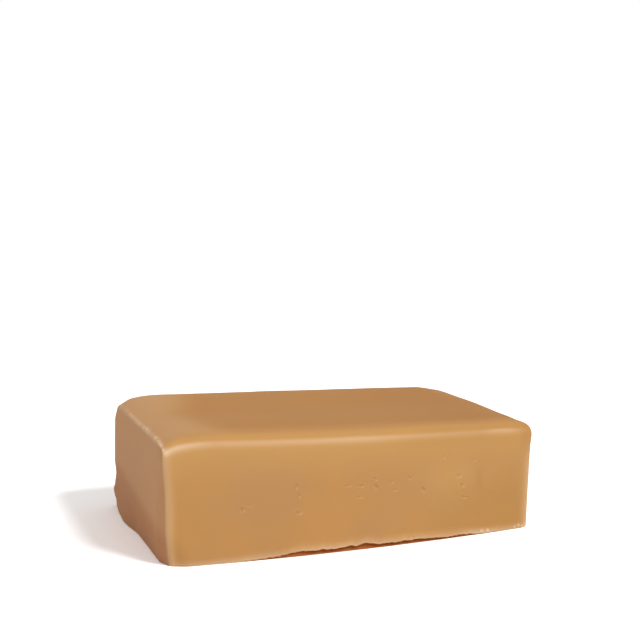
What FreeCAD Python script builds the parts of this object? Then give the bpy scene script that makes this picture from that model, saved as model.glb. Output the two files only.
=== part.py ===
# A hand-cut bar of soap, lying on its broad face.
#
# The bar was poured, left to set and cut. Its long edges and its right end are rounded, its top is
# a little dished, and its left end is the plain face of a cut, with a crisp rim. Along the front
# foot a long shallow flake has broken away, and the heel of the left end is chipped.
#
# Millimetres. X is the length, with the cut end at -X. Y is the depth, with the front at -Y.
# Z is up. The origin is the middle of the footprint, on the surface that the bar lies on.

import FreeCAD, Part
import math
import os
import Sketcher
from FreeCAD import Vector

NODE = "soap_bar"

SIZES = {
    # Overall form: the bar is deepest in the middle, where its long sides bow out
    "bar_length": 92.2,
    "bar_depth": 56.8,
    "front_bow": 3.0,
    "front_lean": 1.2,
    "back_bow": 0.5,
    # Thickness over the crests of the top, which falls a little towards the right end
    "thick_left": 29.6,
    "thick_middle": 27.9,
    "thick_right": 25.9,
    # Top surface, which rolls over a crest near each long edge into a shallow dish
    "crest_inset": 12.0,
    "crest_radius": 90.0,
    "dish_middle": 130.0,
    "dish_end": 350.0,
    # Cut left end, which the top rolls down to, and which bellies out above its foot
    "end_roll_radius": 20.0,
    "end_roll_length": 9.0,
    "belly_height": 7.0,
    "belly_bulge": 0.5,
    "foot_tuck_left": 0.6,
    # Right end, which leans out towards the top
    "foot_tuck_right": 1.1,
    # Rounded edges
    "front_round": 3.6,
    "back_round": 5.5,
    "end_round": 3.4,
    # Flake out of the front foot
    "flake_left_reach": 24.5,
    "flake_right_reach": 38.0,
    "flake_height": 1.4,
    "flake_depth": 1.1,
    # Chipped heel of the left end
    "chip_height": 3.0,
    "chip_width": 1.3,
    "chip_reach": 4.5,
}

# How far the uncut slab and the cutting shapes run past the finished faces
ALLOWANCE = 2.0

# Ragged edge of the flake: share of its length and share of its height
FLAKE_EDGE = [
    (0.05, 0.20), (0.12, 0.38), (0.22, 0.72), (0.40, 0.80), (0.44, 1.00), (0.49, 0.70), (0.53, 1.00),
    (0.58, 0.62), (0.66, 0.88), (0.72, 0.74), (0.76, 0.58), (0.84, 0.48), (0.92, 0.32), (0.97, 0.12),
]

# Broken line of the heel: share of its width and share of its height
CHIP_EDGE = [(1.00, 0.35), (0.80, 0.62), (0.74, 0.80), (0.30, 0.92)]


def make_sheet(doc):
    """Put the driving dimensions in the document's spreadsheet."""
    sheet = doc.addObject("Spreadsheet::Sheet", "sizes")
    for row, (alias, value) in enumerate(SIZES.items(), start=1):
        sheet.set(f"A{row}", alias)
        sheet.set(f"B{row}", str(value))
        sheet.setAlias(f"B{row}", alias)
    doc.recompute()


def sized(owner, expression):
    """Work out an expression of the sheet's sizes in numbers."""
    return float(owner.evalExpression(expression))


def spot(owner, across, up):
    """Return the point of a sketch that two expressions give."""
    return Vector(sized(owner, across), sized(owner, up), 0)


def new_sketch(body, name, role, offset=None):
    """Attach a sketch to an origin plane of the body, moved along its normal by an expression."""
    sketch = body.newObject("Sketcher::SketchObject", name)
    plane = next(item for item in body.Origin.OriginFeatures if item.Role == role)
    sketch.AttachmentSupport = (plane, [""])
    sketch.MapMode = "FlatFace"
    if offset:
        sketch.setExpression("AttachmentOffset.Base.z", offset)
    return sketch


def drive(sketch, kind, places, expression):
    """Add a dimension to a sketch and bind it to the sheet."""
    value = sized(sketch, expression)
    index = sketch.addConstraint(Sketcher.Constraint(kind, *places, value))
    sketch.setExpression(f"Constraints[{index}]", expression)


def pin(sketch, geometry, end, across, up):
    """Fix one end of a line or arc at a place that two expressions give."""
    drive(sketch, "DistanceX", (-1, 1, geometry, end), across)
    drive(sketch, "DistanceY", (-1, 1, geometry, end), up)


def join(sketch, kind, *ends):
    """Tie parts of a sketch together without a dimension."""
    sketch.addConstraint(Sketcher.Constraint(kind, *ends))


def close_chain(sketch):
    """Join each line or arc of a sketch to the next one, and the last to the first."""
    count = sketch.GeometryCount
    for index in range(count):
        join(sketch, "Coincident", index, 2, (index + 1) % count, 1)


def arc_between(centre, first, last):
    """Return an arc that runs counterclockwise between two points about a centre."""
    start = math.atan2(first.y - centre.y, first.x - centre.x)
    stop = math.atan2(last.y - centre.y, last.x - centre.x)
    circle = Part.Circle(centre, Vector(0, 0, 1), centre.distanceToPoint(first))
    return Part.ArcOfCircle(circle, start, stop if stop > start else stop + 2 * math.pi)


def draw_outline(sketch, corners):
    """Draw a closed outline of straight lines, each corner fixed by two expressions."""
    points = [spot(sketch, across, up) for across, up in corners]
    for index, point in enumerate(points):
        sketch.addGeometry(Part.LineSegment(point, points[(index + 1) % len(points)]))
    close_chain(sketch)
    for index, (across, up) in enumerate(corners):
        pin(sketch, index, 1, across, up)


def across_bar(place, rolled):
    """Spell the sizes of the cross-section at one place along the bar."""
    share = f"(({place}) / (sizes.bar_length / 2 + {ALLOWANCE}))"
    fullness = f"(1 - {share} ^ 2)"
    foot = f"(sizes.bar_depth / 2 - sizes.front_bow * {share} ^ 2)"
    taper = "(sizes.thick_right - sizes.thick_left) / 2"
    crown = "((sizes.thick_left + sizes.thick_right) / 2 - sizes.thick_middle)"
    thickness = f"(sizes.thick_middle + {taper} * {share} + {crown} * {share} ^ 2)"
    if rolled:
        into_roll = f"(sizes.end_roll_length - sizes.bar_length / 2 - ({place}))"
        kept = f"sqrt(sizes.end_roll_radius ^ 2 - {into_roll} ^ 2)"
        thickness = f"({thickness} - sizes.end_roll_radius + {kept})"
    return {
        "foot": foot,
        "shoulder": f"({foot} - sizes.front_lean * {fullness})",
        "back": f"(sizes.bar_depth / 2 - sizes.back_bow * {share} ^ 2)",
        "side": f"({thickness} - sizes.crest_radius + sqrt(sizes.crest_radius ^ 2 - sizes.crest_inset ^ 2))",
        "crest_centre": f"({thickness} - sizes.crest_radius)",
        "dish": f"(sizes.dish_end + (sizes.dish_middle - sizes.dish_end) * {fullness})",
    }


def rounding_centre(foot, face_direction, inward, radius, crest, crest_radius):
    """Find the centre of a rounding that touches a side face and the inside of a crest arc."""
    start = foot + inward * radius - crest
    along = start.dot(face_direction)
    run = math.sqrt(along**2 - start.dot(start) + (crest_radius - radius) ** 2) - along
    return crest + start + face_direction * run


def cross_section(body, name, place, spelled):
    """Draw the bar's outline across its length: foot, sides, roundings, two crests and the dish."""
    sketch = new_sketch(body, name, "YZ_Plane", place)
    front_foot = spot(sketch, f"-{spelled['foot']}", f"-{ALLOWANCE}")
    back_foot = spot(sketch, spelled["back"], f"-{ALLOWANCE}")
    corner = spot(sketch, f"-{spelled['shoulder']}", spelled["side"])
    front_crest = spot(sketch, f"sizes.crest_inset - {spelled['shoulder']}", spelled["crest_centre"])
    back_crest = spot(sketch, f"{spelled['back']} - sizes.crest_inset", spelled["crest_centre"])
    crest_radius = sized(sketch, "sizes.crest_radius")
    front_radius = sized(sketch, "sizes.front_round")
    back_radius = sized(sketch, "sizes.back_round")

    # First places for the arcs, from the geometry of touching circles
    up = Vector(0, 1, 0)
    leaning = (corner - front_foot).normalize()
    inward = Vector(leaning.y, -leaning.x, 0)
    front_round_centre = rounding_centre(
        front_foot, leaning, inward, front_radius, front_crest, crest_radius)
    back_round_centre = rounding_centre(
        back_foot, up, Vector(-1, 0, 0), back_radius, back_crest, crest_radius)
    front_top = front_crest + (front_round_centre - front_crest).normalize() * crest_radius
    back_top = back_crest + (back_round_centre - back_crest).normalize() * crest_radius
    front_side = front_round_centre - inward * front_radius
    back_side = back_round_centre + Vector(back_radius, 0, 0)
    half_span = front_crest.distanceToPoint(back_crest) / 2
    reach = crest_radius + sized(sketch, spelled["dish"])
    dish_centre = (front_crest + back_crest) / 2 + up * math.sqrt(reach**2 - half_span**2)
    front_join = front_crest + (dish_centre - front_crest) * crest_radius / reach
    back_join = back_crest + (dish_centre - back_crest) * crest_radius / reach

    foot, back_face, back_round, back_roll, dish, front_roll, front_round, front_face = range(8)
    sketch.addGeometry(Part.LineSegment(front_foot, back_foot))
    sketch.addGeometry(Part.LineSegment(back_foot, back_side))
    sketch.addGeometry(arc_between(back_round_centre, back_side, back_top))
    sketch.addGeometry(arc_between(back_crest, back_top, back_join))
    sketch.addGeometry(arc_between(dish_centre, front_join, back_join))
    sketch.addGeometry(arc_between(front_crest, front_join, front_top))
    sketch.addGeometry(arc_between(front_round_centre, front_top, front_side))
    sketch.addGeometry(Part.LineSegment(front_side, front_foot))
    shoulder = sketch.addGeometry(Part.Point(corner), True)

    join(sketch, "Coincident", foot, 2, back_face, 1)
    join(sketch, "Tangent", back_face, 2, back_round, 1)
    join(sketch, "Tangent", back_round, 2, back_roll, 1)
    join(sketch, "Tangent", back_roll, 2, dish, 2)
    join(sketch, "Tangent", dish, 1, front_roll, 1)
    join(sketch, "Tangent", front_roll, 2, front_round, 1)
    join(sketch, "Tangent", front_round, 2, front_face, 1)
    join(sketch, "Coincident", front_face, 2, foot, 1)
    join(sketch, "PointOnObject", shoulder, 1, front_face)
    join(sketch, "Horizontal", foot)
    join(sketch, "Vertical", back_face)
    join(sketch, "Equal", back_roll, front_roll)
    join(sketch, "Horizontal", back_roll, 3, front_roll, 3)
    pin(sketch, foot, 1, f"-{spelled['foot']}", f"-{ALLOWANCE}")
    drive(sketch, "DistanceX", (-1, 1, foot, 2), spelled["back"])
    pin(sketch, shoulder, 1, f"-{spelled['shoulder']}", spelled["side"])
    drive(sketch, "Radius", (back_roll,), "sizes.crest_radius")
    drive(sketch, "Radius", (dish,), spelled["dish"])
    drive(sketch, "Radius", (back_round,), "sizes.back_round")
    drive(sketch, "Radius", (front_round,), "sizes.front_round")
    drive(sketch, "DistanceX", (back_roll, 3, back_face, 1), "sizes.crest_inset")
    drive(sketch, "DistanceX", (shoulder, 1, front_roll, 3), "sizes.crest_inset")
    drive(sketch, "DistanceY", (-1, 1, back_roll, 3), spelled["crest_centre"])
    return sketch


def pour_slab(body):
    """Loft the slab through its cross-sections, a little longer and deeper than the bar."""
    end = f"sizes.bar_length / 2 + {ALLOWANCE}"
    stations = [
        ("left_end", f"-({end})", True),
        ("end_roll", "sizes.end_roll_length / 2 - sizes.bar_length / 2", True),
        ("roll_start", "sizes.end_roll_length - sizes.bar_length / 2", False),
        ("left_quarter", "-sizes.bar_length / 4", False),
        ("middle", "0", False),
        ("right_quarter", "sizes.bar_length / 4", False),
        ("right_end", end, False),
    ]
    sections = [
        cross_section(body, f"{name}_section", place, across_bar(place, rolled))
        for name, place, rolled in stations
    ]
    slab = body.newObject("PartDesign::AdditiveLoft", "slab")
    slab.Profile = (sections[0], [""])
    slab.Sections = [(section, [""]) for section in sections[1:]]
    slab.Ruled = False
    body.Document.recompute()
    return slab


def cut_away(body, name, sketch, side):
    """Cut a side-view outline out of the bar: right through it, or only before or behind it."""
    cut = body.newObject("PartDesign::Pocket", name)
    cut.Profile = sketch
    cut.Type = "ThroughAll"
    cut.Midplane = side == "both"
    cut.Reversed = side == "front"
    volume = body.Shape.Volume if body.Shape.Solids else 0.0
    body.Document.recompute()
    if not cut.Shape.Volume < volume:
        raise RuntimeError(f"{name} cuts nothing away")
    return cut


def flatten_foot(body):
    """Cut the slab flat at the level that it lies on."""
    sketch = new_sketch(body, "foot_cut_outline", "XZ_Plane")
    outside = f"sizes.bar_length / 2 + 2 * {ALLOWANCE}"
    below = f"-2 * {ALLOWANCE}"
    draw_outline(sketch, [
        (f"-({outside})", below), (outside, below), (outside, "0"), (f"-({outside})", "0"),
    ])
    return cut_away(body, "foot_cut", sketch, "both")


def cut_right_end(body):
    """Cut the right end to length, with its foot tucked in."""
    sketch = new_sketch(body, "right_cut_outline", "XZ_Plane")
    half = "sizes.bar_length / 2"
    outside = f"{half} + 2 * {ALLOWANCE}"
    lean = "sizes.foot_tuck_right / sizes.thick_right"
    draw_outline(sketch, [
        (f"{half} - {lean} * (sizes.thick_right + {ALLOWANCE})", f"-{ALLOWANCE}"),
        (outside, f"-{ALLOWANCE}"),
        (outside, f"sizes.thick_left + {ALLOWANCE}"),
        (f"{half} + {lean} * (sizes.thick_left + {ALLOWANCE} - sizes.thick_right)",
         f"sizes.thick_left + {ALLOWANCE}"),
    ])
    return cut_away(body, "right_cut", sketch, "both")


def edges_where(shape, wanted):
    """Name the edges whose middle point passes a test."""
    names = []
    for number, edge in enumerate(shape.Edges, start=1):
        if wanted(edge.valueAt((edge.FirstParameter + edge.LastParameter) / 2)):
            names.append(f"Edge{number}")
    return names


def round_edges(body, name, radius, wanted):
    """Round the chosen edges of the bar by a size of the sheet."""
    base = body.Tip
    rounding = body.newObject("PartDesign::Fillet", name)
    rounding.Base = (base, edges_where(base.Shape, wanted))
    rounding.setExpression("Radius", radius)
    body.Document.recompute()
    return rounding


def round_right_end(body):
    """Round the rim of the right end, but for its foot."""
    near_right = SIZES["bar_length"] / 2 - SIZES["foot_tuck_right"]
    above_foot = SIZES["end_round"]
    return round_edges(
        body, "end_round", "sizes.end_round",
        lambda middle: middle.x > near_right - ALLOWANCE and middle.z > above_foot,
    )


def cut_left_end(body):
    """Cut the left end as the knife left it, bellied out a little above its foot."""
    half = "(sizes.bar_length / 2)"
    floor = f"-{ALLOWANCE}"
    above = f"(sizes.thick_left + {ALLOWANCE})"
    outside = f"(-{half} - 2 * {ALLOWANCE})"
    rise = "(sizes.thick_left - sizes.end_roll_length / 4 - sizes.belly_height)"
    upper_radius = f"(({rise} ^ 2 + sizes.belly_bulge ^ 2) / (2 * sizes.belly_bulge))"
    lower_radius = "((sizes.belly_height ^ 2 + sizes.foot_tuck_left ^ 2) / (2 * sizes.foot_tuck_left))"
    top_across = (
        f"({upper_radius} - {half} - sqrt({upper_radius} ^ 2 - ({above} - sizes.belly_height) ^ 2))"
    )
    foot_across = (
        f"({lower_radius} - {half} - sqrt({lower_radius} ^ 2 - ({ALLOWANCE} + sizes.belly_height) ^ 2))"
    )

    sketch = new_sketch(body, "left_cut_outline", "XZ_Plane")
    top = spot(sketch, top_across, above)
    belly = spot(sketch, f"-{half}", "sizes.belly_height")
    foot = spot(sketch, foot_across, floor)
    foot_corner = spot(sketch, outside, floor)
    top_corner = spot(sketch, outside, above)
    upper_centre = spot(sketch, f"{upper_radius} - {half}", "sizes.belly_height")
    lower_centre = spot(sketch, f"{lower_radius} - {half}", "sizes.belly_height")
    sketch.addGeometry(arc_between(upper_centre, top, belly))
    sketch.addGeometry(arc_between(lower_centre, belly, foot))
    sketch.addGeometry(Part.LineSegment(foot, foot_corner))
    sketch.addGeometry(Part.LineSegment(foot_corner, top_corner))
    sketch.addGeometry(Part.LineSegment(top_corner, top))
    upper, lower, under, outer, over = range(5)
    close_chain(sketch)
    pin(sketch, lower, 1, f"-{half}", "sizes.belly_height")
    drive(sketch, "Radius", (upper,), upper_radius)
    drive(sketch, "Radius", (lower,), lower_radius)
    drive(sketch, "DistanceY", (-1, 1, upper, 3), "sizes.belly_height")
    drive(sketch, "DistanceY", (-1, 1, lower, 3), "sizes.belly_height")
    drive(sketch, "DistanceY", (-1, 1, upper, 1), above)
    drive(sketch, "DistanceY", (-1, 1, lower, 2), floor)
    join(sketch, "Horizontal", under)
    join(sketch, "Vertical", outer)
    join(sketch, "Horizontal", over)
    drive(sketch, "DistanceX", (-1, 1, under, 2), outside)
    return cut_away(body, "left_cut", sketch, "both")


def break_out_flake(body):
    """Break the long shallow flake out of the front foot, under a ragged edge."""
    left = "sizes.flake_left_reach"
    length = "(sizes.flake_left_reach + sizes.flake_right_reach)"
    bed = "sizes.bar_depth / 2 - sizes.flake_depth"
    sketch = new_sketch(body, "flake_outline", "XZ_Plane", bed)
    ragged = [(f"{along} * {length} - {left}", f"{up} * sizes.flake_height") for along, up in FLAKE_EDGE]
    ends = [("sizes.flake_right_reach", f"-{ALLOWANCE}"), (f"-{left}", f"-{ALLOWANCE}")]
    draw_outline(sketch, ragged + ends)
    return cut_away(body, "flake", sketch, "front")


def chip_heel(body):
    """Chip the foot of the left end where it turns to the back."""
    half = "sizes.bar_length / 2"
    bed = "sizes.chip_reach - sizes.bar_depth / 2"
    outside = f"-{half} - {ALLOWANCE}"
    sketch = new_sketch(body, "chip_outline", "XZ_Plane", bed)
    broken = [(f"{in_} * sizes.chip_width - {half}", f"{up} * sizes.chip_height") for in_, up in CHIP_EDGE]
    foot = [(outside, f"-{ALLOWANCE}"), (f"sizes.chip_width - {half}", f"-{ALLOWANCE}")]
    draw_outline(sketch, foot + broken + [(outside, "sizes.chip_height")])
    return cut_away(body, "chip", sketch, "back")


def check_document(doc, body):
    """Stop if anything in the document has failed or the bar isn't one closed solid."""
    for item in doc.Objects:
        if "Invalid" in item.State or "Error" in item.State:
            raise RuntimeError(f"{item.Name} failed: {item.State}")
    shape = body.Shape
    if shape.isNull() or not shape.isValid() or len(shape.Solids) != 1:
        raise RuntimeError(f"{body.Label} is not one valid solid")


def build():
    """Make the bar of soap and write it."""
    doc = FreeCAD.newDocument("bar_of_soap")
    make_sheet(doc)
    body = doc.addObject("PartDesign::Body", NODE)
    body.Label = NODE
    pour_slab(body)
    flatten_foot(body)
    cut_right_end(body)
    round_right_end(body)
    cut_left_end(body)
    break_out_flake(body)
    chip_heel(body)
    body.Placement = FreeCAD.Placement()
    doc.recompute()
    check_document(doc, body)

    os.makedirs("parts", exist_ok=True)
    body.Shape.exportStep(f"parts/{body.Label}.step")
    box = body.Shape.optimalBoundingBox()
    print(f"{body.Label}: {box.XLength:.2f} x {box.YLength:.2f} x {box.ZLength:.2f} mm,"
          f" {body.Shape.Volume / 1000:.1f} cm3")


build()
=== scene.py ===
import math

import bpy
import numpy as np
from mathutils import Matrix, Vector


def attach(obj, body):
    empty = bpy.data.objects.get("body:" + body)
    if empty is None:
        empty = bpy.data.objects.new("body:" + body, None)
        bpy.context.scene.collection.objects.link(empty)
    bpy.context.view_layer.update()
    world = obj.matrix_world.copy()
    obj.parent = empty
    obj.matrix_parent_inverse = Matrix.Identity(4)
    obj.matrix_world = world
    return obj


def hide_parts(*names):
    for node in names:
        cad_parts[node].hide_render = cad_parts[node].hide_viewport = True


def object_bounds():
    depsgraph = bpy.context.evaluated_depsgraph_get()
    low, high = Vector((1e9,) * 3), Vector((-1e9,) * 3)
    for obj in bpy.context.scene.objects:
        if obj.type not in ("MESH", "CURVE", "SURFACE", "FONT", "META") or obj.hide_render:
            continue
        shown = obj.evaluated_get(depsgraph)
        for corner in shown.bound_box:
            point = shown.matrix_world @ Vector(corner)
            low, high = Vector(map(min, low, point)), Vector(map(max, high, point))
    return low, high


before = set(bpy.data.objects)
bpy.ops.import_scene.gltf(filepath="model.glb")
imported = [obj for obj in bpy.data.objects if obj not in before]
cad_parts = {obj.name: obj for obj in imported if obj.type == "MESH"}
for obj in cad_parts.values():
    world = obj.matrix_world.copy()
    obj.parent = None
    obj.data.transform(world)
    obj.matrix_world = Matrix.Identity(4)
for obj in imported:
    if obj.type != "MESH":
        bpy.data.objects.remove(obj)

# The bar of soap is one solid piece, poured into a mould, left to set and then cut by hand.
# Its long edges are rubbed round, its top has sunk a little, its left end is the waxy face of
# the cut, and a thin flake has broken out from under the lip of the front foot.
MM = 0.001
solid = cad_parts["soap_bar"]
cad_low, cad_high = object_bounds()
low, high = np.array(cad_low) / MM, np.array(cad_high) / MM

# It starts as a plain block with a fine grid on it
grid_cuts = 99
bpy.ops.object.select_all(action="DESELECT")
bpy.ops.mesh.primitive_cube_add(size=1, location=(cad_low + cad_high) / 2, scale=cad_high - cad_low)
bar = bpy.context.object
bar.name = "soap"
bar.data.name = "soap"
bpy.ops.object.transform_apply(location=True, rotation=True, scale=True)
bpy.ops.object.mode_set(mode="EDIT")
bpy.ops.mesh.subdivide(number_cuts=grid_cuts)
bpy.ops.object.mode_set(mode="OBJECT")


def points_of(piece):
    """Return the corner points of a piece's mesh, in millimetres."""
    flat = np.empty(len(piece.data.vertices) * 3)
    piece.data.vertices.foreach_get("co", flat)
    return flat.reshape(-1, 3) / MM


def put_points(piece, points):
    """Move the corner points of a piece's mesh to places in millimetres."""
    piece.data.vertices.foreach_set("co", (points * MM).ravel())
    piece.data.update()


def closer_lines(values, start, end, finest, run):
    """Draw evenly spaced grid lines closer together towards the start."""
    steps = 1 - (1 - finest) * np.exp(-np.arange(grid_cuts + 1) / run)
    lines = np.concatenate([[0], np.cumsum(steps)]) / steps.sum()
    share = (values - start) / (end - start)
    return start + (end - start) * np.interp(share, np.linspace(0, 1, grid_cuts + 2), lines)


# The grid is finer towards the cut end and the front. Each point keeps its place on the block.
points = points_of(bar)
points[:, 0] = closer_lines(points[:, 0], low[0], high[0], finest=0.25, run=7)
points[:, 1] = closer_lines(points[:, 1], low[1], high[1], finest=0.4, run=8)
block = points.copy()
bar.data.attributes.new("block", "FLOAT_VECTOR", "POINT")
bar.data.attributes["block"].data.foreach_set("vector", block.ravel())


def roll_edge(points, axes, edge, inward, radius):
    """Roll the points round an edge that runs across two axes, as a thumb rounds clay."""
    across, up = axes
    off_across = (edge[0] - points[:, across]) * inward[0]
    off_up = (edge[1] - points[:, up]) * inward[1]
    from_across, from_up = radius + off_across, radius + off_up
    outside = (from_across > 0) & (from_up > 0)
    distance = np.hypot(from_across, from_up)
    far = outside & (distance > radius)
    shrink = np.where(far, radius / np.maximum(distance, radius), 1)
    points[:, across] += np.where(far, from_across * (1 - shrink) * inward[0], 0)
    points[:, up] += np.where(far, from_up * (1 - shrink) * inward[1], 0)


# The long upper edges and the right end are rolled over
front_round = 3.6
back_round = 5.5
right_round = 3.4
roll_edge(points, (1, 2), (low[1], high[2]), (1, -1), front_round)
roll_edge(points, (1, 2), (high[1], high[2]), (-1, -1), back_round)
roll_edge(points, (0, 2), (high[0], high[2]), (-1, -1), right_round)
roll_edge(points, (0, 1), (high[0], low[1]), (-1, 1), right_round)
roll_edge(points, (0, 1), (high[0], high[1]), (-1, -1), right_round)


def hit(origin, direction):
    """Find where a straight line in millimetres first meets the solid."""
    _, place, _, _ = solid.ray_cast(Vector(origin) * MM, Vector(direction))
    return place / MM


# The block is laid on the solid's own form: its top and sides are found at stations along the
# bar and its ends at levels up it, and then each point moves on to the nearest place
clear_off = 10
above_foot = 0.3
inside_ridge = 0.7
below_ridge = 2.4
below_right_rim = 8
mid_height = (low[2] + high[2]) / 2
stations = np.linspace(low[0] + inside_ridge, high[0] - right_round, num=60)
tops = np.array([hit((x, 0, high[2] + clear_off), (0, 0, -1)).z for x in stations])
fronts = np.array([hit((x, low[1] - clear_off, mid_height), (0, 1, 0)).y for x in stations])
backs = np.array([hit((x, high[1] + clear_off, mid_height), (0, -1, 0)).y for x in stations])
left_levels = np.linspace(above_foot, high[2] - below_ridge, num=16)
lefts = np.array([hit((low[0] - clear_off, 0, z), (1, 0, 0)).x for z in left_levels])
right_levels = np.linspace(above_foot, high[2] - below_right_rim, num=12)
rights = np.array([hit((high[0] + clear_off, 0, z), (-1, 0, 0)).x for z in right_levels])

part_way = (points - low) / (high - low)
top_here = np.interp(points[:, 0], stations, tops)
front_here = np.interp(points[:, 0], stations, fronts)
back_here = np.interp(points[:, 0], stations, backs)
left_here = np.interp(points[:, 2], left_levels, lefts)
right_here = np.interp(points[:, 2], right_levels, rights)
points[:, 2] = part_way[:, 2] * top_here
points[:, 1] = front_here + part_way[:, 1] * (back_here - front_here)
points[:, 0] = left_here + part_way[:, 0] * (right_here - left_here)
put_points(bar, points)

wrap = bar.modifiers.new("lay_on_solid", "SHRINKWRAP")
wrap.target = solid
wrap.wrap_method = "NEAREST_SURFACEPOINT"
bpy.ops.object.modifier_apply(modifier=wrap.name)

# The front is made whole again down to the foot, so that its break can be cut finely below. A
# point lies on a side of the block where its kept place is within a hair of it.
hair = 0.01
whole_from, whole_to = 3.0, 5.0
points = points_of(bar)
is_front = block[:, 1] < low[1] + hair
is_foot = block[:, 2] < low[2] + hair
above = is_front & (points[:, 2] > whole_from) & (points[:, 2] < whole_to)
order = np.argsort(points[above, 0])
whole_x, whole_y = points[above][order, 0], points[above][order, 1]
below = is_front & (points[:, 2] <= whole_from)
points[below, 1] = np.interp(points[below, 0], whole_x, whole_y)
points[is_foot, 2] = 0
put_points(bar, points)

# The laid-on surface is smoothed, and a hand-cut bar is slightly wavy all over
bpy.ops.object.mode_set(mode="EDIT")
bpy.ops.mesh.select_all(action="SELECT")
bpy.ops.mesh.vertices_smooth(factor=0.5, repeat=2)
bpy.ops.mesh.select_all(action="DESELECT")
bpy.ops.object.mode_set(mode="OBJECT")
unevenness = bpy.data.textures.new("hand_unevenness", "CLOUDS")
unevenness.noise_scale = 14 * MM
waves = bar.modifiers.new("hand_unevenness", "DISPLACE")
waves.texture = unevenness
waves.strength = 0.22 * MM
waves.mid_level = 0.5
bpy.ops.object.modifier_apply(modifier=waves.name)
points = points_of(bar)
points[is_foot, 2] = 0
put_points(bar, points)


def kept_places(piece):
    """Return the place on the plain block that each point carries with it."""
    flat = np.empty(len(piece.data.vertices) * 3)
    piece.data.attributes["block"].data.foreach_get("vector", flat)
    return flat.reshape(-1, 3)


def select_faces(piece, places, wanted):
    """Select the faces whose corners, at the places given for the mesh's points, pass a test."""
    bpy.ops.object.mode_set(mode="EDIT")
    bpy.ops.mesh.select_mode(type="FACE")
    bpy.ops.mesh.select_all(action="DESELECT")
    bpy.ops.object.mode_set(mode="OBJECT")
    for face in piece.data.polygons:
        face.select = bool(wanted(places[list(face.vertices)]))
    bpy.ops.object.mode_set(mode="EDIT")


# The foot is one flat face. The strip above its front edge gets a finer grid.
strip_height = 3.4
select_faces(bar, kept_places(bar), lambda corners: (corners[:, 2] < low[2] + hair).all())
bpy.ops.mesh.dissolve_faces()
bpy.ops.object.mode_set(mode="OBJECT")
select_faces(bar, kept_places(bar), lambda corners: len(corners) == 4
             and (corners[:, 1] < low[1] + hair).all() and (corners[:, 2] < strip_height).all())
bpy.ops.mesh.subdivide(number_cuts=3)
bpy.ops.object.mode_set(mode="OBJECT")

# Broken line of the front foot: place along the bar and height, both in millimetres
broken_line = np.array([
    (-31.0, 0.00), (-28.4, 0.14), (-25.4, 0.26), (-22.0, 0.44), (-18.9, 0.60), (-17.6, 0.96),
    (-15.0, 1.18), (-10.2, 1.12), (-5.4, 1.04), (-3.0, 1.32), (-1.3, 1.08), (0.6, 1.62), (1.4, 1.46),
    (4.2, 0.86), (4.9, 0.96), (6.9, 1.03), (9.5, 0.92), (11.6, 1.03), (12.4, 0.80), (13.2, 1.08),
    (15.0, 0.92), (17.2, 0.82), (19.9, 0.62), (22.5, 0.56), (25.2, 0.66), (30.7, 0.22), (36.3, 0.10),
    (40.0, 0.00),
])
least_height = 0.05
raggedness = 0.08
notch_gap = 0.55
rng = np.random.default_rng(7)
notch_places = np.arange(low[0], high[0], notch_gap)
notches = rng.normal(0, raggedness, len(notch_places))


def line_height(x):
    """Return how high the broken line runs at places along the bar."""
    height = np.interp(x, broken_line[:, 0], broken_line[:, 1], left=0, right=0)
    return np.where(height > least_height, height + np.interp(x, notch_places, notches), height)


def ease(share):
    """Run smoothly from 0 to 1 as a share does."""
    share = np.clip(share, 0, 1)
    return share * share * (3 - 2 * share)


def rise(values, start, run):
    """Run smoothly from 0 to 1 as values go on from a start, or back from it on a negative run."""
    return ease((values - start) / run)


# Under the line the flake's bed is sunk in, shallow at the foot and deep at the line. Over it the
# lip flares out, and its root shows in the break too.
break_depth = 1.1
foot_share = 0.1
bed_corner = 0.15
lip_flare = 0.38
least_flare = 0.3
lip_height = 2.4
lip_root = 0.4
points = points_of(bar)
block = kept_places(bar)
is_front = block[:, 1] < low[1] + hair
x, z = points[:, 0], points[:, 2]
edge = line_height(x)
in_break = is_front & (z < edge)
bed_slope = foot_share + (1 - foot_share) * np.clip(z / np.maximum(edge, least_height), 0, 1)
openness = np.interp(x, (-31, -20, -12, 12, 30, 40), (0, 0.4, 1, 1, 0.35, 0))
bed = break_depth * bed_slope * rise(z, start=edge, run=-bed_corner) * openness
flare = lip_flare * rise(z, start=edge + lip_height, run=-lip_height)
flare *= rise(x, start=-38, run=10) * (least_flare + (1 - least_flare) * openness)
points[:, 1] += np.where(in_break, bed - lip_root * flare, 0)
points[:, 1] -= np.where(is_front & ~in_break, flare, 0)

# The heel and the front upright are rubbed round. The upright follows the lean of the front,
# which is read off one column of its grid near the cut end.
heel_round = 4.0
heel_sharper = 2.5
upright_round = 1.4
column_inset = 3
column_half = 0.5
left_here = np.interp(points[:, 2], left_levels, lefts)
column = is_front & (abs(block[:, 0] - low[0] - column_inset) < column_half)
column_x, column_y, column_z = points[column][np.argsort(points[column, 2])].T
column_lean = column_y - np.interp(column_x, stations, fronts)
front_line = np.interp(points[:, 0], stations, fronts) + np.interp(points[:, 2], column_z, column_lean)
heel_here = heel_round - heel_sharper * rise(points[:, 2], start=8, run=-8)
roll_edge(points, (0, 1), (left_here, high[1]), (1, -1), heel_here)
roll_edge(points, (0, 1), (left_here, front_line), (1, 1), upright_round)


def press(points, presses):
    """Push the points near each place by some millimetres, less and less out to the reach."""
    for centre, reach, push in presses:
        away = np.linalg.norm((points - centre) / reach, axis=1)
        points += ease(1 - away)[:, None] * np.array(push)


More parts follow.
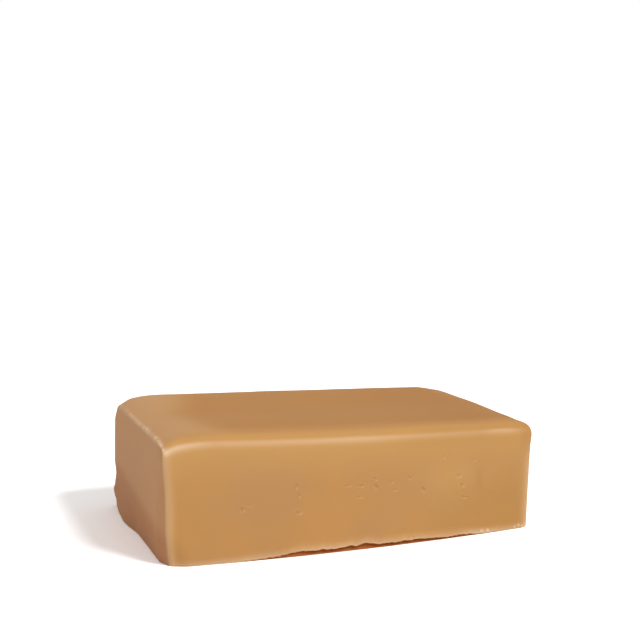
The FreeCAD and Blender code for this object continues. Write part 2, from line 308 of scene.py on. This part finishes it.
# Swellings and dents of the cut end, at its foot, heel, front upright and top corners: place,
# reach and push, all in millimetres
press(points, (
    ((low[0], 12.5, 0), (9, 13, 7), (-1.15, 0, 0)),
    ((low[0], 22, 1.5), (6, 7, 4), (-0.4, 0, 0)),
    ((low[0], 27, 9.5), (5, 5, 3.2), (0.45, 0, 0)),
    ((low[0], 27, 4.8), (5, 4, 1.8), (-0.35, 0, 0)),
    ((low[0] + 0.6, low[1] + 2.6, 0), (6, 6, 8), (0.9, 0.9, 0)),
    ((low[0], 26, high[2] - 1.5), (5, 9, 5), (0.6, -0.2, -0.7)),
    ((low[0], low[1] + 3, high[2] - 1.5), (4, 7, 5), (0.3, 0.5, -0.5)),
))

# The front upright of the cut end steps in below its top corner
step_depth = 0.85
step_at_foot = 0.4
step_in = step_depth * rise(points[:, 2], start=26, run=-12)
step_in *= step_at_foot + (1 - step_at_foot) * rise(points[:, 2], start=0, run=7)
near_front = rise(points[:, 1], start=low[1] + 8, run=-6)
near_left = rise(points[:, 0], start=low[0] + 5, run=-4)
points[:, 0] += step_in * near_front * near_left

# At the right end the dish runs out into a straight rim: places across the bar and heights
rim_inset = 2
rim_rows = np.linspace(-22, 20, num=22)
rim_tops = np.array([hit((high[0] - rim_inset, y, high[2] + clear_off), (0, 0, -1)).z for y in rim_rows])
straight = np.interp(points[:, 1], (-22, 2, 20), (25.2, 25.3, 24.75))
near_right = rise(points[:, 0], start=36, run=9) * rise(points[:, 2], start=15, run=8)
points[:, 2] += near_right * (straight - np.interp(points[:, 1], rim_rows, rim_tops))
press(points, (
    ((high[0], low[1] + 3, high[2] - 4.5), (6, 7, 6), (0.4, -0.2, 0.4)),
    ((high[0] - 1, -17, high[2] - 4), (6, 6, 5), (0, 0, 0.1)),
    ((high[0] - 1, -24, high[2] - 4), (6, 5, 5), (0, 0, -0.1)),
))

# The upper front leans back a little before it rolls over
lean_back = 0.5
lean = lean_back * rise(points[:, 2], start=12, run=16)
points[:, 1] += lean * rise(points[:, 1], start=low[1] + 5, run=-4)
put_points(bar, points)

# Small bubbles and knocks on the front: place, length, tilt in degrees, width and depth
knocks = (
    (-28.2, 11.8, 0.3, 90, 0.51, 0.196), (-26.8, 12.6, 0.2, 0, 0.425, 0.098),
    (-15.9, 15.8, 1.2, 60, 0.4675, 0.154), (-15.3, 13.7, 1.0, 65, 0.51, 0.168),
    (-15.3, 10.0, 0.2, 90, 0.3825, 0.21), (-3.5, 15.1, 0.5, 20, 0.3825, 0.112),
    (-0.1, 14.8, 0.8, 5, 0.425, 0.14), (-0.6, 12.3, 0.4, 0, 0.425, 0.098),
    (3.4, 16.1, 0.5, -30, 0.425, 0.14), (3.8, 14.0, 1.4, -55, 0.51, 0.182),
    (7.3, 15.0, 0.5, 40, 0.4675, 0.154), (8.1, 13.1, 0.5, 0, 0.3825, 0.098),
    (12.2, 15.5, 0.7, -40, 0.425, 0.126), (15.7, 12.3, 0.9, -50, 0.51, 0.182),
    (20.7, 19.4, 1.3, 40, 0.34, 0.098), (24.7, 14.7, 0.3, 90, 0.51, 0.21),
    (25.5, 12.3, 0.4, 70, 0.51, 0.196), (26.3, 9.5, 1.2, -10, 0.3825, 0.126),
    (29.0, 18.1, 0.5, 30, 0.34, 0.098), (11.8, 1.64, 0.2, 0, 0.2125, 0.126),
    (13.1, 1.49, 0.2, 0, 0.2125, 0.126),
)
knock_margin = 0.8
front_bow = 5


def near_knock(corners):
    """Tell whether a face on the front lies round one of the knocks."""
    middle = corners.mean(axis=0)
    return middle[1] < low[1] + front_bow and any(
        abs(middle[0] - knock_x) < knock_margin + length / 2
        and abs(middle[2] - knock_z) < knock_margin + length / 2
        for knock_x, knock_z, length, *_ in knocks)


select_faces(bar, points_of(bar), near_knock)
bpy.ops.mesh.subdivide(number_cuts=3)
bpy.ops.object.mode_set(mode="OBJECT")

# Each knock is a pit with a slight rim, and a pale fleck of soap sits beside it
rim_height, rim_place, rim_width = 0.12, 1.2, 0.5
fleck_right, fleck_down, fleck_reach = 0.45, 0.2, 0.5
full_fleck_depth = 0.196
points = points_of(bar)
block = kept_places(bar)
is_front = block[:, 1] < low[1] + hair
fleck_share = np.zeros(len(points))
for knock_x, knock_z, length, tilt, width, depth in knocks:
    along = np.array([math.cos(math.radians(tilt)), math.sin(math.radians(tilt))])
    away = points[:, [0, 2]] - (knock_x, knock_z)
    run = np.clip(away @ along, -length / 2, length / 2)
    distance = np.linalg.norm(away - run[:, None] * along, axis=1) / width
    rim = ease(1 - abs(distance - rim_place) / rim_width)
    points[:, 1] += depth * (ease(1 - distance) - rim_height * rim) * is_front
    from_fleck = np.hypot(away[:, 0] - fleck_right, away[:, 1] + fleck_down)
    fleck = ease(1 - from_fleck / fleck_reach) * is_front * depth / full_fleck_depth
    fleck_share = np.maximum(fleck_share, fleck)

# Crumbs that stick to the foot and to the cut ridge: place and size
crumbs = (
    ((31.0, -27.3, 0.80), 0.4), ((32.7, -27.2, 0.74), 0.45), ((40.3, -26.4, 0.55), 0.35),
    ((41.4, -26.3, 0.83), 0.4), ((42.6, -26.1, 0.45), 0.3),
    ((low[0] + 0.4, -9.4, 28.0), 0.8), ((low[0] + 0.4, -18.6, 27.5), 0.8),
)
crumb_reach = 1.6
crumb_out, crumb_up = 0.25, 0.3
crumb_share = np.zeros(len(points))
for centre, size in crumbs:
    near_crumb = ease(1 - np.linalg.norm(points - centre, axis=1) / (crumb_reach * size))
    crumb_share = np.maximum(crumb_share, near_crumb)
points[:, 1] -= crumb_out * crumb_share * is_front
points[:, 2] += crumb_up * crumb_share * ~is_front
points[:, 2] = np.maximum(points[:, 2], 0)
put_points(bar, points)

for face in bar.data.polygons:
    face.use_smooth = True


def fade(away, reach):
    """Fall softly from 1 to nothing as a distance passes a reach."""
    return np.exp(-(away / reach) ** 2)


# Pale wax lies in flecks along the cut ridge, on the crumbs and beside the knocks. Down the uprights,
# on the lip over the break and along the front shoulder the pale colour is painted highlight and edge
# glow.
x, y, z = points.T
from_left, from_front, _ = (block - low).T
from_right, _, from_top = (high - block).T
is_left = from_left < hair
is_top = from_top < hair
edge = line_height(x)
in_break = is_front & (z < edge)
fleck_places = np.arange(low[1], high[1], 0.6)
ridge_flecks = 0.65 + 0.35 * np.interp(y, fleck_places, rng.uniform(-1, 1, len(fleck_places)))
ridge = ridge_flecks * fade(from_left + from_top, reach=0.6) * (0.7 + 0.3 * rise(y, start=12, run=-30))
left_upright = 0.35 * fade(from_left, reach=1.7) * fade(from_front, reach=0.6)
right_upright = 0.4 * is_front * fade(from_right, reach=2.2) * np.interp(z, (14, 20, 26), (1, 0.4, 0.1))
far_off = 99
above_break = np.where(is_front & ~in_break, z - edge, far_off)
lip_x = (-44, -38, -27, -18, -9, 0, 12, 25, 30, 33, 36, 45)
lip_highlight = np.interp(x, lip_x, (0.25, 0.5, 0.65, 0.42, 0.65, 0.5, 0.45, 0.45, 0.85, 0.85, 0.55, 0.45))
wide_lip, narrow_lip = rise(above_break, start=1.8, run=-1.8), rise(above_break, start=0.8, run=-0.8)
lip = lip_highlight * (0.65 * wide_lip + 0.35 * narrow_lip)
shoulder_x = (low[0], low[0] + 1.5, -40, -34, 0, 12, 31.5, 36, 39.5, 43.5, high[0])
shoulder_highlight = np.interp(x, shoulder_x, (0, 0.8, 0.65, 0.32, 0.44, 0.26, 0.18, 0.39, 0.37, 0.04, 0))
shoulder = is_front * shoulder_highlight * fade(from_top - 1.5, reach=1.1)
wax_and_highlight_share = ridge + left_upright + right_upright + lip + shoulder + 0.7 * crumb_share + 0.3 * fleck_share

# Cured soap is warm caramel, cloudy in broad soft patches. Over that lie places of waxier or fresher
# soap, and places where light and shade are painted: each has a name, a colour, and its share from 0 to
# 1 at each point. The edge of the painted shade on the dished top wanders, and the painted shade on the
# cut end's foot climbs towards the back.
caramel = (0.535, 0.274, 0.092, 1)
cloudy = (0.500, 0.264, 0.102, 1)
narrower_on_top = 3.2
from_shoulder = from_top + narrower_on_top * from_front
heel_shade_height, heel_shade_slope = 12.5, 0.11
heel_shade_line = heel_shade_height + heel_shade_slope * y
patch_bow = 7 * fade(y + 6, reach=13)
wander = 1.1 * np.sin(y / 6.5) + 0.5 * np.sin(y / 2.9 + 1) + patch_bow
tones = (
    # Painted shade: the sunk middle of the top is darker, where it turns away from the light
    ("dished_shade", (0.404, 0.190, 0.061, 1),
     is_top * rise(from_front, start=0, run=9) * rise(x + wander, start=-43, run=20)
     * (0.8 + 0.2 * rise(x, start=0, run=40))),
    # Painted light: the front shoulder, the upper front and the front by the cut end are lighter where
    # they face the light
    ("shoulder_light", (0.586, 0.321, 0.109, 1),
     np.maximum(rise(from_shoulder, start=13, run=-13),
                0.8 * is_front * rise(from_left, start=3.5, run=-3.5))),
    ("waxy_left", (0.512, 0.280, 0.126, 1),
     is_top * rise(x + wander, start=-26, run=-12) * rise(from_front, start=0, run=6)),
    ("cut_face", (0.532, 0.275, 0.129, 1),
     fade(from_left, reach=0.8) * rise(from_front, start=-0.2, run=1.2)),
    # Painted shade: the foot of the cut end is darker where it tucks under, below a line that climbs
    # towards the back
    ("heel_shade", (0.467, 0.213, 0.101, 1),
     is_left * rise(z, start=heel_shade_line, run=-5)),
    ("waxy_patch", (0.550, 0.300, 0.110, 1),
     is_front * fade(x - 23, reach=8) * fade(z - 14.5, reach=5)),
    # Painted shade: the lower right of the front, a stripe on it and the top of the front shoulder are
    # darker
    ("front_shade", (0.487, 0.252, 0.080, 1),
     np.maximum.reduce([
         is_front * rise(x, start=5, run=38) * rise(z, start=17, run=-12),
         is_front * 0.8 * fade(x - 30.5, reach=1.2) * fade(z - 12.5, reach=4),
         0.9 * rise(x, start=-5, run=30) * fade(from_top + from_front, reach=4),
         0.55 * rise(x, start=-44, run=5) * fade(2 * from_top + from_front, reach=4.5),
     ])),
    # Painted shade: the top right corner of the front, which faces the daylight, is darker
    ("corner_shade", (0.432, 0.205, 0.062, 1),
     0.8 * rise(x, start=41, run=5) * rise(z, start=15, run=6) * fade(from_front, reach=6)),
    # Pale wax on the ridge, crumbs and flecks; painted highlight and edge glow on the uprights, lip and
    # shoulder
    ("wax_and_highlight_tone", (0.760, 0.530, 0.345, 1),
     np.clip(wax_and_highlight_share, 0, 1)),
    # The fresh soap of the break is a deeper red, and it is painted darker too, as shade under the lip
    ("fresh_break_and_shade", (0.520, 0.160, 0.040, 1),
     in_break * rise(z, start=edge, run=-0.2)),
    ("foot_shade", (0.160, 0.050, 0.014, 1),
     in_break * 0.42 * ease(1 - z / np.maximum(edge, least_height))),
)
for name, _, share in tones:
    bar.data.attributes.new(name, "FLOAT", "POINT")
    bar.data.attributes[name].data.foreach_set("value", share.astype(np.float32))

# The soap is waxy and lets a little light in
soap = bpy.data.materials.new("cured_soap")
soap.use_nodes = True
nodes, links = soap.node_tree.nodes, soap.node_tree.links
shader = nodes["Principled BSDF"]
shader.inputs["Roughness"].default_value = 0.7
shader.inputs["Specular IOR Level"].default_value = 0.07
shader.inputs["Subsurface Weight"].default_value = 0.18
shader.inputs["Subsurface Radius"].default_value = (1.0, 0.5, 0.22)
shader.inputs["Subsurface Scale"].default_value = 0.0025

place = nodes.new("ShaderNodeTexCoord")
clouds = nodes.new("ShaderNodeTexNoise")
clouds.inputs["Scale"].default_value = 60
clouds.inputs["Detail"].default_value = 3
links.new(place.outputs["Object"], clouds.inputs["Vector"])
clearer = nodes.new("ShaderNodeMapRange")
clearer.inputs["From Min"].default_value = 0.36
clearer.inputs["From Max"].default_value = 0.64
links.new(clouds.outputs["Fac"], clearer.inputs["Value"])
body = nodes.new("ShaderNodeMix")
body.data_type = "RGBA"
body.inputs["A"].default_value = caramel
body.inputs["B"].default_value = cloudy
links.new(clearer.outputs["Result"], body.inputs["Factor"])

colour = body.outputs["Result"]
for name, tone, _ in tones:
    mask = nodes.new("ShaderNodeAttribute")
    mask.attribute_name = name
    layer = nodes.new("ShaderNodeMix")
    layer.data_type = "RGBA"
    layer.inputs["B"].default_value = tone
    links.new(mask.outputs["Fac"], layer.inputs["Factor"])
    links.new(colour, layer.inputs["A"])
    colour = layer.outputs["Result"]
links.new(colour, shader.inputs["Base Color"])

grain = nodes.new("ShaderNodeTexNoise")
grain.inputs["Scale"].default_value = 900
grain.inputs["Detail"].default_value = 4
links.new(place.outputs["Object"], grain.inputs["Vector"])
bump = nodes.new("ShaderNodeBump")
bump.inputs["Strength"].default_value = 0.12
bump.inputs["Distance"].default_value = 0.0003
links.new(grain.outputs["Fac"], bump.inputs["Height"])
links.new(bump.outputs["Normal"], shader.inputs["Normal"])

bar.data.materials.append(soap)
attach(bar, "root")
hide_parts("soap_bar")

# The floor is a plain white sheet that lies flat under the bar. It is seen brighter than the
# lamps make it, so that it runs into the white backdrop, and it keeps the bar's shadow.
floor_size = 3
floor_white = (0.8, 0.8, 0.8, 1)
half_seen = (0.72, 0.72, 0.72, 1)
bpy.ops.object.select_all(action="DESELECT")
bpy.ops.mesh.primitive_plane_add(size=floor_size)
floor = bpy.context.object
floor.name = "floor"


def shown_by_ray(tree):
    """Return a share that is 1 for what is seen straight, by gloss or through glass."""
    path = tree.nodes.new("ShaderNodeLightPath")
    share = path.outputs["Is Camera Ray"]
    for ray in ("Is Glossy Ray", "Is Transmission Ray"):
        either = tree.nodes.new("ShaderNodeMath")
        either.operation = "MAXIMUM"
        tree.links.new(share, either.inputs[0])
        tree.links.new(path.outputs[ray], either.inputs[1])
        share = either.outputs["Value"]
    return share


sheet = bpy.data.materials.new("white_sheet")
sheet.use_nodes = True
nodes, links = sheet.node_tree.nodes, sheet.node_tree.links
nodes.remove(nodes["Principled BSDF"])
plain = nodes.new("ShaderNodeBsdfDiffuse")
plain.inputs["Color"].default_value = floor_white
half = nodes.new("ShaderNodeBsdfDiffuse")
half.inputs["Color"].default_value = half_seen
seen = nodes.new("ShaderNodeAddShader")
links.new(half.outputs["BSDF"], seen.inputs[0])
links.new(half.outputs["BSDF"], seen.inputs[1])
by_ray = nodes.new("ShaderNodeMixShader")
links.new(shown_by_ray(sheet.node_tree), by_ray.inputs["Fac"])
links.new(plain.outputs["BSDF"], by_ray.inputs[1])
links.new(seen.outputs["Shader"], by_ray.inputs[2])
links.new(by_ray.outputs["Shader"], nodes["Material Output"].inputs["Surface"])
floor.data.materials.append(sheet)

# The room is soft white light all round the bar. Seen straight, by gloss or through glass, it is
# a plain white backdrop.
white = (1, 1, 1, 1)
room_strength = 0.52
world = bpy.data.worlds.new("white_room")
bpy.context.scene.world = world
world.use_nodes = True
nodes, links = world.node_tree.nodes, world.node_tree.links
room = nodes["Background"]
room.inputs["Color"].default_value = white
room.inputs["Strength"].default_value = room_strength
backdrop = nodes.new("ShaderNodeBackground")
backdrop.inputs["Color"].default_value = white
backdrop.inputs["Strength"].default_value = 1
by_ray = nodes.new("ShaderNodeMixShader")
links.new(shown_by_ray(world.node_tree), by_ray.inputs["Fac"])
links.new(room.outputs["Background"], by_ray.inputs[1])
links.new(backdrop.outputs["Background"], by_ray.inputs[2])
links.new(by_ray.outputs["Shader"], nodes["World Output"].inputs["Surface"])

# Daylight falls on the bar from the front, a little from the right, and a weak wide light from
# the left keeps the cut end from going dull: name, direction, strength and spread.
lamps = (
    ("daylight", (0.565, -0.80, 1.0), 1.98, math.radians(15)),
    ("left_fill", (-0.85, -0.25, 0.46), 0.30, math.radians(90)),
)
for name, direction, strength, spread in lamps:
    direction = Vector(direction).normalized()
    bpy.ops.object.light_add(type="SUN", location=direction)
    lamp = bpy.context.object
    lamp.name = name
    lamp.data.energy = strength
    lamp.data.angle = spread
    lamp.rotation_euler = direction.to_track_quat("Z", "Y").to_euler()

# The camera stands in front of the bar's left end and a little above it. It is turned to the
# right and tilted down, at the photograph's viewing angle.
camera_place = Vector((-108.3, -293.25, 92.9)) * MM
camera_turn = math.radians(20.3)
camera_tilt = math.radians(7.93)
bpy.ops.object.camera_add(location=camera_place)
camera = bpy.context.object
camera.rotation_euler = (math.pi / 2 - camera_tilt, 0, -camera_turn)
camera.data.sensor_width = 36
camera.data.lens = 72.82
camera.data.clip_start = 0.01
bpy.context.scene.camera = camera

bpy.context.scene.view_settings.view_transform = "Standard"
